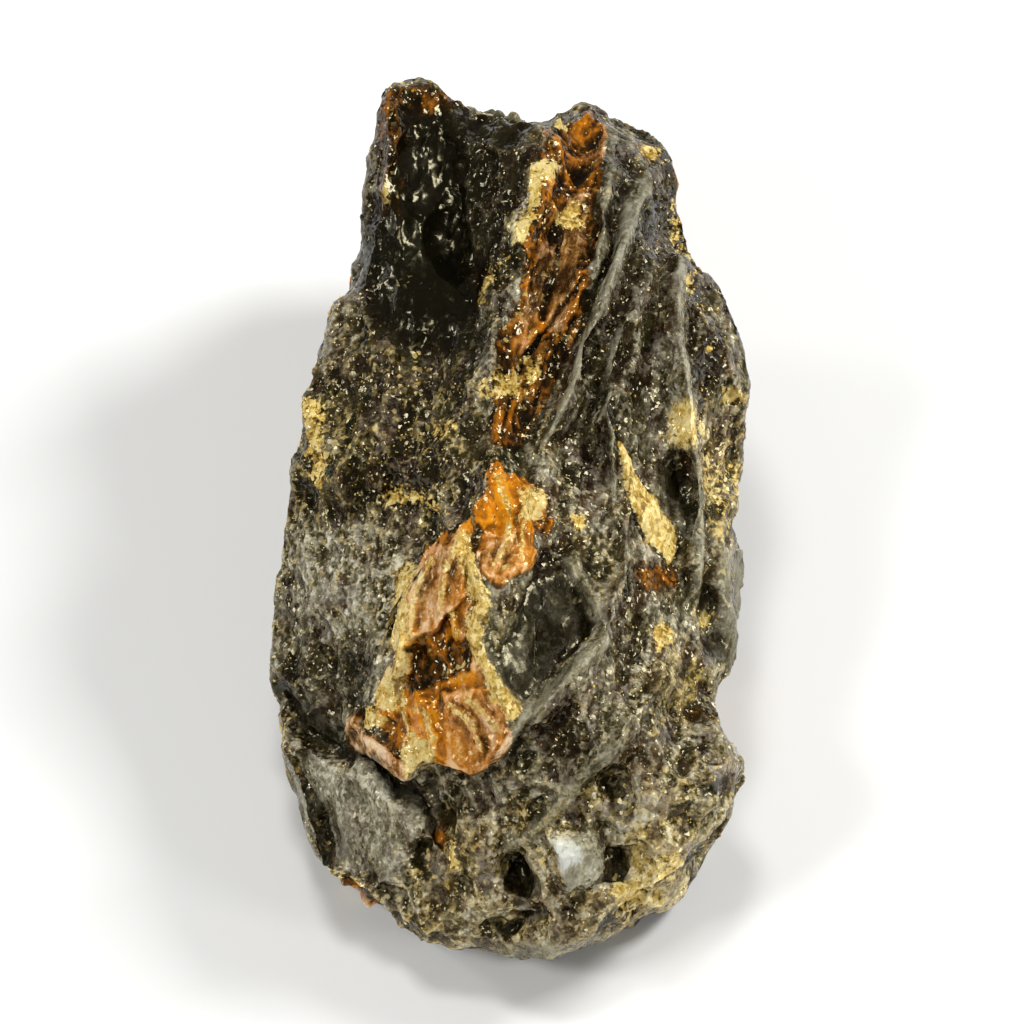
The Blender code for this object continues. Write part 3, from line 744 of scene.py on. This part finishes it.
def stepped(value, low, high):
    """0 below low, 1 above high."""
    return add(tree, "ShaderNodeMapRange", {0: value, 1: low, 2: high}).outputs[0]


def swing(value, amount):
    """A 0 to 1 value, centred on 0 and scaled."""
    return math_of(tree, "MULTIPLY", math_of(tree, "SUBTRACT", value, 0.5), amount)


def total(*values):
    """The sum of numbers or sockets."""
    result = values[0]
    for value in values[1:]:
        result = math_of(tree, "ADD", result, value)
    return result


# Patterns at real sizes: 2.4 mm blotches, 0.5 mm flecks, 0.2 mm specks, 0.38 mm grains and 1.3 mm
# shells that each have their own value, and streaks 0.7 mm wide that lean as the ribs do. Where
# the resin has flowed, its flecks are drawn out into streaks.
leaning = add(tree, "ShaderNodeVectorRotate", {0: spots, "Angle": math.radians(14.0)},
              rotation_type="Z_AXIS").outputs[0]
blotch = noise_of(2.4, 3.0, stretched(tree, leaning, (1.0, 0.6, 1.0)), 0.7)
streak = noise_of(0.7, 3.0, stretched(tree, leaning, (1.0, 0.1, 0.6)))
flow = layer("flow")
fleck = blend_of(tree, flow, noise_of(0.5, 3.0, rough=0.7), streak)
speck = noise_of(0.22, 2.0)
grain_cells = add(tree, "ShaderNodeTexVoronoi", {"Vector": spots, "Scale": 1 / (0.38 * MM)})
grain = add(tree, "ShaderNodeSeparateColor", {0: grain_cells.outputs["Color"]}).outputs
drawn_out = stretched(tree, leaning, (1.0, 0.5, 0.8))
shell_cells = add(tree, "ShaderNodeTexVoronoi", {"Vector": drawn_out, "Scale": 1 / (1.3 * MM)})
shell = add(tree, "ShaderNodeSeparateColor", {0: shell_cells.outputs["Color"]}).outputs
# crest and swell lighten what stands out and darken hollows: partly wear and dust, partly painted
# highlight on crests and painted shade in hollows
crest = layer("crest")
swell = layer("swell")


def ragged(name, amount=0.8, soft=0.1):
    """A zone's share with a ragged edge, broken up by the blotches, flecks and grains."""
    broken = total(layer(name), swing(fleck, amount), swing(blotch, amount),
                   swing(grain[1], amount * 0.4))
    return stepped(broken, 0.5 - soft, 0.5 + soft)


# Bare resin is dark and glossy. The crust on it lies in patches: thick where the zone is pale,
# and broken up into grains everywhere. Its tone runs from brown resin to pale dust.
pale = layer("pale")
cover = total(pale, swing(blotch, 1.5), swing(fleck, 0.8), swing(speck, 0.6),
              swing(grain[1], 0.4), swing(crest, 0.3))
crusted = stepped(cover, 0.32, 0.64)
resin_tone = total(math_of(tree, "MULTIPLY", pale, 0.8), swing(blotch, 0.6), swing(fleck, 0.6),
                   swing(swell, 0.2), swing(shell[0], 0.2))
resin_colour = mixed(
    tree, shell[2],
    colours_along(tree, resin_tone, (0.0, "#080602"), (0.25, "#1c190b"), (0.45, "#3a361c"),
                  (0.7, "#5f5a36")),
    colours_along(tree, resin_tone, (0.0, "#080402"), (0.25, "#20150b"), (0.45, "#42301d"),
                  (0.7, "#6b5336")))
tone = total(pale, swing(fleck, 0.4), swing(blotch, 0.5), swing(speck, 0.5),
             swing(grain[0], 0.26), swing(crest, 0.28))
grey_crust = colours_along(tree, tone, (0.1, "#1c190e"), (0.34, "#453f2d"), (0.5, "#706953"),
                           (0.66, "#9b947d"), (0.9, "#e0dcc4"))
ochre_crust = colours_along(tree, tone, (0.1, "#1a1506"), (0.34, "#483a14"), (0.5, "#806a2c"),
                            (0.66, "#bfa04a"), (0.9, "#f4e0a4"))
ochre_share = stepped(total(layer("ochre"), swing(blotch, -1.2), swing(streak, 0.6),
                            swing(grain[2], 0.4)), 0.15, 0.8)
crust_colour = mixed(tree, ochre_share, grey_crust, ochre_crust)
plum = math_of(tree, "MULTIPLY", stepped(shell[2], 0.5, 0.9), 0.45)
crust_colour = mixed(tree, plum, crust_colour, srgb("#5c5050"))
gold_colour = colours_along(tree, total(math_of(tree, "MULTIPLY", fleck, 0.7), swing(speck, 0.5),
                                        math_of(tree, "MULTIPLY", grain[0], 0.3),
                                        swing(pale, 0.3)),
                            (0.24, "#6e521c"), (0.38, "#a8863a"), (0.5, "#dcb858"),
                            (0.66, "#fce69c"))
# crest lightens the orange resin's edges as a painted highlight and darkens its hollows as painted
# shade
ember_mix = total(layer("ember"), swing(streak, 0.8), swing(blotch, 0.4), swing(speck, 0.4),
                  swing(shell[1], 0.26), swing(crest, 0.6))
orange_colour = colours_along(tree, ember_mix, (0.0, "#120903"), (0.2, "#3b2209"),
                              (0.4, "#774711"), (0.6, "#b06a18"), (0.8, "#d07a0a"),
                              (1.0, "#ee9a1e"))
# the palest stop of the satin colour is the painted highlight on the bright facet
grey_satin = colours_along(tree, total(streak, swing(pale, 0.8), swing(speck, 0.4)),
                           (0.3, "#403d2c"), (0.5, "#6b6750"), (0.7, "#98957f"),
                           (0.9, "#d2d6d2"))
# crest lightens the tan sheets' edges as a painted highlight and darkens their hollows as painted
# shade
tan_satin = colours_along(tree, total(streak, swing(shell[1], 0.3), swing(crest, 0.5),
                                      swing(speck, 0.5)), (0.3, "#5c3612"),
                          (0.48, "#a8763a"), (0.62, "#dcb072"), (0.78, "#fbeecf"))

orange_mask = ragged("orange", 0.8, 0.2)
satin_mask = math_of(tree, "MULTIPLY", ragged("satin", 0.4, 0.4), stepped(streak, 0.2, 0.5))
gold_mask = stepped(total(layer("gold"), swing(fleck, 0.9), swing(blotch, 0.6), swing(speck, 0.7),
                          swing(grain[1], 0.4)), 0.36, 0.56)
# The dark share is dark resin, and also painted shade: the shadowed upper left hollow, the crack
# and the pits.
dark_and_painted_shade_mask = ragged("dark", 0.6, 0.35)
# Some grains are painted pale yellow: partly pale crust grains, partly painted glints.
pale_grain_and_painted_glint = math_of(tree, "MULTIPLY", stepped(grain[0], 0.84, 0.98),
                       stepped(total(blotch, swing(layer("ochre"), 0.4),
                                     math_of(tree, "MULTIPLY", layer("orange"), 0.1)),
                               0.5, 0.64))
colour = mixed(tree, crusted, resin_colour, crust_colour)
colour = mixed(tree, orange_mask, colour, orange_colour)
# A dark brown line along the orange resin's border: partly the resin's own dark rim, partly painted
# shade where the crust stands above it.
rim = math_of(tree, "SUBTRACT", 1.0, math_of(tree, "ABSOLUTE", swing(orange_mask, 2.0)))
colour = mixed(tree, math_of(tree, "MULTIPLY", rim, 0.8), colour, srgb("#1e1204"))
satin_colour = mixed(tree, orange_mask, grey_satin, tan_satin)
colour = mixed(tree, math_of(tree, "MULTIPLY", satin_mask, 0.7), colour, satin_colour)
colour = mixed(tree, math_of(tree, "MULTIPLY", gold_mask, 0.9), colour, gold_colour)
# near black for the dark resin and for the painted shade
colour = mixed(tree, math_of(tree, "MULTIPLY", dark_and_painted_shade_mask, 0.88), colour, srgb("#0b0902"))
# pale crust grains and painted glints
colour = mixed(tree, math_of(tree, "MULTIPLY", pale_grain_and_painted_glint, 0.8), colour, srgb("#e6ca78"))
tree.links.new(colour, shader.inputs["Base Color"])

dull = math_of(tree, "MAXIMUM", crusted, gold_mask)
dull = math_of(tree, "MULTIPLY", dull, math_of(tree, "SUBTRACT", 1.0, dark_and_painted_shade_mask))
rough = blend_of(tree, dull, blend_of(tree, dark_and_painted_shade_mask, 0.12, 0.2),
                 blend_of(tree, grain[2], 0.12, 0.32))
rough = blend_of(tree, orange_mask, rough, 0.1)
rough = blend_of(tree, satin_mask, rough, 0.3)
tree.links.new(rough, shader.inputs["Roughness"])
clear = math_of(tree, "MULTIPLY", math_of(tree, "SUBTRACT", 1.0, dull), 0.1)
clear = blend_of(tree, orange_mask, clear, 0.18)
clear = blend_of(tree, satin_mask, clear, 0.06)
tree.links.new(clear, shader.inputs["Transmission Weight"])
shader.inputs["IOR"].default_value = 1.54
shader.inputs["Specular IOR Level"].default_value = 0.36
shader.inputs["Specular Tint"].default_value = srgb("#f2e6b8")

# Facets finer than the mesh: each shell is tilted its own way, and on the crust each grain, and
# their glints make the sparkle. Sound resin and satin ribs are smooth between their shells.
shell_facets = tilted_chips(tree, drawn_out, shell_cells)
grit_facets = tilted_chips(tree, spots, grain_cells)
dark = layer("dark")
gritty = math_of(tree, "SUBTRACT", blend_of(tree, layer("orange"), 0.9, 0.6),
                 math_of(tree, "MULTIPLY", dark, 0.86))
facets = total(math_of(tree, "MULTIPLY", shell_facets, blend_of(tree, dark, 0.7, 0.2)),
               math_of(tree, "MULTIPLY", grit_facets, gritty))
even = math_of(tree, "SUBTRACT", 1.0, math_of(tree, "MULTIPLY", satin_mask,
                                              blend_of(tree, orange_mask, 0.8, 0.2)))
bump = add(tree, "ShaderNodeBump", {"Height": facets, "Distance": 1.0, "Strength": even})
tree.links.new(bump.outputs[0], shader.inputs["Normal"])
drink = add(tree, "ShaderNodeVolumeAbsorption", {"Color": srgb("#b06a1c"), "Density": 900.0})
tree.links.new(drink.outputs[0], tree.nodes["Material Output"].inputs["Volume"])

MOST_FACES = 195000
dressed = add(skin, "GeometryNodeSetMaterial", {0: whole.outputs[0], "Material": amber})
add(skin, "NodeGroupOutput", {0: dressed.outputs[0]})
lump.data = run_tree(lump, skin, SKIN_SIZES)
fewer = lump.modifiers.new("fewer_faces", "DECIMATE")
fewer.ratio = MOST_FACES / sum(len(face.vertices) - 2 for face in lump.data.polygons)
thinned = evaluated_copy(lump)
lump.modifiers.clear()
points = read_points(thinned)
points[:, 2] = np.maximum(points[:, 2], 0.0)  # nothing dips below the resting face
write_points(thinned, points)
lump.data = thinned
lump.data.name = "amber_body"
lump.data.shade_smooth()
lump.data.set_sharp_from_angle(angle=math.radians(26.0))
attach(lump, "root")
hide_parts("amber_lump")


# ---- Grains of crust stuck to the lump -------------------------------------------------------
# Crumbs of weathered, golden resin cling along the margins of the orange resin, and finer dust
# lies in clusters over the rest. Each grain is an angular chip, sunk part way into the crust.
CRUMB_SIZES = {
    "Smallest": 0.1 * MM, "Largest": 0.36 * MM, "In gold per mm2": 1.5, "Elsewhere per mm2": 0.0,
    "Clear of base": 2.0 * MM,
}
DUST_SIZES = {
    "Smallest": 0.05 * MM, "Largest": 0.24 * MM, "In gold per mm2": 1.0, "Elsewhere per mm2": 2.4,
    "Clear of base": 2.0 * MM,
}
grit = new_tree("crust_grains", CRUMB_SIZES)
given = add(grit, "NodeGroupInput").outputs


def zone_share(name, low, high):
    """0 where a zone's share is below low, and 1 where it is above high."""
    return add(grit, "ShaderNodeMapRange", {0: share_of(grit, name), 1: low, 2: high}).outputs[0]


cluster = add(grit, "ShaderNodeTexNoise", {"Scale": 1 / (1.6 * MM), "Detail": 2.0}).outputs[0]
clustered = add(grit, "ShaderNodeMapRange", {0: cluster, 1: 0.42, 2: 0.6}).outputs[0]
bare = math_of(grit, "SUBTRACT", 1.0, math_of(
    grit, "MAXIMUM", zone_share("satin", 0.2, 0.5), zone_share("dark", 0.3, 0.6)))
thick = math_of(grit, "MULTIPLY", math_of(grit, "MULTIPLY", zone_share("gold", 0.3, 0.8),
                                          clustered), given["In gold per mm2"])
stray = math_of(grit, "MULTIPLY", clustered, given["Elsewhere per mm2"])
above_base = add(grit, "ShaderNodeSeparateXYZ", {
    0: add(grit, "GeometryNodeInputPosition").outputs[0]}).outputs["Z"]
off_base = math_of(grit, "GREATER_THAN", above_base, given["Clear of base"])
per_mm2 = math_of(grit, "MULTIPLY", math_of(grit, "ADD", thick, stray), bare)
density = math_of(grit, "MULTIPLY", math_of(grit, "MULTIPLY", per_mm2, off_base), 1e6)
spread = add(grit, "GeometryNodeDistributePointsOnFaces", {
    "Mesh": given["Geometry"], "Density": density, "Seed": 5})
chip = add(grit, "GeometryNodeMeshIcoSphere", {"Radius": 0.5, "Subdivisions": 1})
turn = add(grit, "FunctionNodeRandomValue", {0: (0.0, 0.0, 0.0), 1: (6.283, 6.283, 6.283),
                                             "Seed": 6}, data_type="FLOAT_VECTOR")
wide = add(grit, "FunctionNodeRandomValue", {2: given["Smallest"], 3: given["Largest"],
                                             "Seed": 7}, data_type="FLOAT")
shape = add(grit, "FunctionNodeRandomValue", {0: (0.6, 0.6, 0.35), 1: (1.3, 1.3, 0.8),
                                              "Seed": 8}, data_type="FLOAT_VECTOR")
size = add(grit, "ShaderNodeVectorMath", {0: shape.outputs[0], "Scale": wide.outputs[1]},
           operation="SCALE")
stuck = add(grit, "GeometryNodeInstanceOnPoints", {
    "Points": spread.outputs["Points"], "Instance": chip.outputs["Mesh"],
    "Rotation": turn.outputs[0], "Scale": size.outputs[0]})
tint = add(grit, "FunctionNodeRandomValue", {2: 0.0, 3: 1.0, "Seed": 9}, data_type="FLOAT")
tinted = add(grit, "GeometryNodeStoreNamedAttribute", {
    "Geometry": stuck.outputs[0], "Name": "tint", "Value": tint.outputs[1]},
    data_type="FLOAT", domain="INSTANCE")
whole = add(grit, "GeometryNodeRealizeInstances", {0: tinted.outputs[0]})

# The crumbs are the same weathered resin, opaque, from brown to pale gold.
crumb = bpy.data.materials.new("weathered_amber_crumbs")
crumb.use_nodes = True
tree = crumb.node_tree
shader = tree.nodes["Principled BSDF"]
tree.links.new(colours_along(tree, layer("tint"), (0.0, "#6a4818"), (0.3, "#a07c32"),
                             (0.65, "#d8b65a"), (1.0, "#fdeeb8")), shader.inputs["Base Color"])
shader.inputs["Roughness"].default_value = 0.14
shader.inputs["IOR"].default_value = 1.54
shader.inputs["Specular Tint"].default_value = srgb("#f2e6b8")
dressed = add(grit, "GeometryNodeSetMaterial", {0: whole.outputs[0], "Material": crumb})
add(grit, "NodeGroupOutput", {0: dressed.outputs[0]})
for name, sizes in (("crust_crumbs", CRUMB_SIZES), ("crust_dust", DUST_SIZES)):
    crumbs = bpy.data.objects.new(name, lump.data.copy())
    bpy.context.scene.collection.objects.link(crumbs)
    crumbs.data = run_tree(crumbs, grit, sizes)
    crumbs.data.name = name
    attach(crumbs, "root")


# ---- The table, the light and the camera -----------------------------------------------------
# A pale matt sweep under five small soft lamps, the strongest high on the right. Each lamp is
# small and bright, so a chip that mirrors it glints.
bpy.ops.mesh.primitive_plane_add(size=4.0)
table = bpy.context.object
table.name = "table"
paper = bpy.data.materials.new("matt_white_paper")
paper.use_nodes = True
paper.node_tree.nodes["Principled BSDF"].inputs["Base Color"].default_value = srgb("#f2f2f0")
paper.node_tree.nodes["Principled BSDF"].inputs["Roughness"].default_value = 0.9
table.data.materials.append(paper)


def softbox(name, place, width, watts):
    """A square area lamp at a place in metres, aimed at the lump."""
    lamp = bpy.data.lights.new(name, "AREA")
    lamp.size = width
    lamp.energy = watts
    holder = bpy.data.objects.new(name, lamp)
    holder.location = place
    aim = Vector((0, 0, 0.012)) - holder.location
    holder.rotation_euler = aim.to_track_quat("-Z", "Y").to_euler()
    bpy.context.scene.collection.objects.link(holder)


softbox("high_right", (0.36, 0.16, 0.38), 0.15, 2.2)
softbox("left_front", (-0.30, -0.22, 0.40), 0.11, 1.1)
softbox("overhead", (-0.05, 0.05, 0.55), 0.11, 0.9)
softbox("low_left", (-0.46, 0.20, 0.20), 0.09, 0.6)
softbox("low_right", (0.46, -0.26, 0.20), 0.1, 0.8)
world = bpy.data.worlds.new("studio")
world.use_nodes = True
world.node_tree.nodes["Background"].inputs["Color"].default_value = srgb("#ffffff")
world.node_tree.nodes["Background"].inputs["Strength"].default_value = 0.12
bpy.context.scene.world = world
bpy.context.scene.view_settings.view_transform = "Standard"

# A long lens looks down on the show side from 1.2 m off.
VIEW_WIDTH = 78.4 * MM
CAMERA_DISTANCE = 1.2
camera = bpy.data.cameras.new("camera")
camera.sensor_width = 36.0
camera.lens = camera.sensor_width * CAMERA_DISTANCE / VIEW_WIDTH
camera.clip_start = 0.1
holder = bpy.data.objects.new("camera", camera)
holder.location = Vector(HEART * MM) + Vector(TO_VIEWER) * CAMERA_DISTANCE
holder.rotation_euler = Vector(-TO_VIEWER).to_track_quat("-Z", "Y").to_euler()
bpy.context.scene.collection.objects.link(holder)
bpy.context.scene.camera = holder
